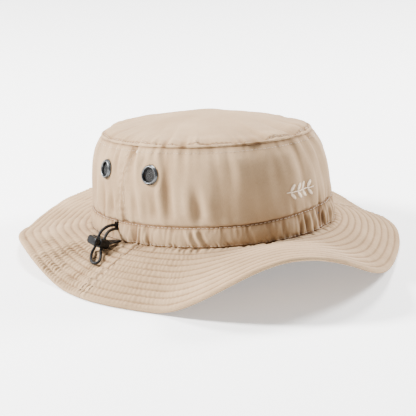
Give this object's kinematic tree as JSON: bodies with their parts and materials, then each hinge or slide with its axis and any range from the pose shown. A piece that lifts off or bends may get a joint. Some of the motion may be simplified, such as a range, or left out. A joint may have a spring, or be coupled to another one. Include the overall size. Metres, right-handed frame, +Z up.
{
  "type": "boonie hat",
  "caption": "Soft cotton sun hat with a wavy quilted brim, mesh vent eyelets and an elastic drawcord tightened by a cord lock.",
  "frame": {"origin": "on the surface the hat stands on, under the middle of the brim's outline", "axes": "+Z up; -Y the way the wearer faces; -X the wearer's right, where the cord lock is"},
  "size_m": [0.2775, 0.3101, 0.1017],
  "materials": {
    "twill": "matt cotton twill",
    "sweatband_twill": "soft cotton band",
    "seam_tape": "herringbone tape",
    "interlining": "non-woven",
    "label_cloth": "satin ribbon",
    "embroidery_thread": "satin thread",
    "elastic_cord": "braided elastic",
    "black_ribbon": "grosgrain",
    "black_plastic": "semi-gloss acetal",
    "spring_steel": "wire",
    "gunmetal": "gunmetal plate",
    "vent_gauze": "fine mesh"
  },
  "bodies": {
    "hat": {"crown_top_panel": "twill", "crown_front_panel": "twill", "crown_back_panel": "twill", "drawcord_channel": "twill", "sweatband": "sweatband_twill", "top_seam_tape": "seam_tape", "side_seam_tape_left": "seam_tape", "side_seam_tape_right": "seam_tape", "size_label": "label_cloth", "brim_upper_front": "twill", "brim_upper_back": "twill", "brim_interlining_front": "interlining", "brim_interlining_back": "interlining", "brim_lower_front": "twill", "brim_lower_back": "twill", "drawcord_in_channel": "elastic_cord", "embroidered_sprig": "embroidery_thread", "vent_eyelet_1": "gunmetal", "vent_washer_1": "gunmetal", "vent_mesh_1": "vent_gauze", "vent_eyelet_2": "gunmetal", "vent_washer_2": "gunmetal", "vent_mesh_2": "vent_gauze", "vent_eyelet_3": "gunmetal", "vent_washer_3": "gunmetal", "vent_mesh_3": "vent_gauze", "vent_eyelet_4": "gunmetal", "vent_washer_4": "gunmetal", "vent_mesh_4": "vent_gauze"},
    "cord_lock": {"cord_lock_body": "black_plastic", "cord_lock_spring": "spring_steel", "toggle_tab": "black_ribbon", "drawcord_loop": "elastic_cord"},
    "lock_button": {"cord_lock_button": "black_plastic"}
  },
  "joints": [
    {"name": "lock_swing", "type": "hinge", "parent": "hat", "child": "cord_lock", "pos_m": [-0.0824, -0.0054, 0.026], "axis": [0, 0, 1], "range_deg": [-20, 20], "deforming": ["drawcord_loop", "toggle_tab"]},
    {"name": "button_press", "type": "slide", "parent": "cord_lock", "child": "lock_button", "axis": [0.9272, 0, -0.3746], "range_m": [0, 0.0015], "stiffness_N_per_m": 600, "springref_m": -0.001, "deforming": ["cord_lock_spring"]}
  ]
}
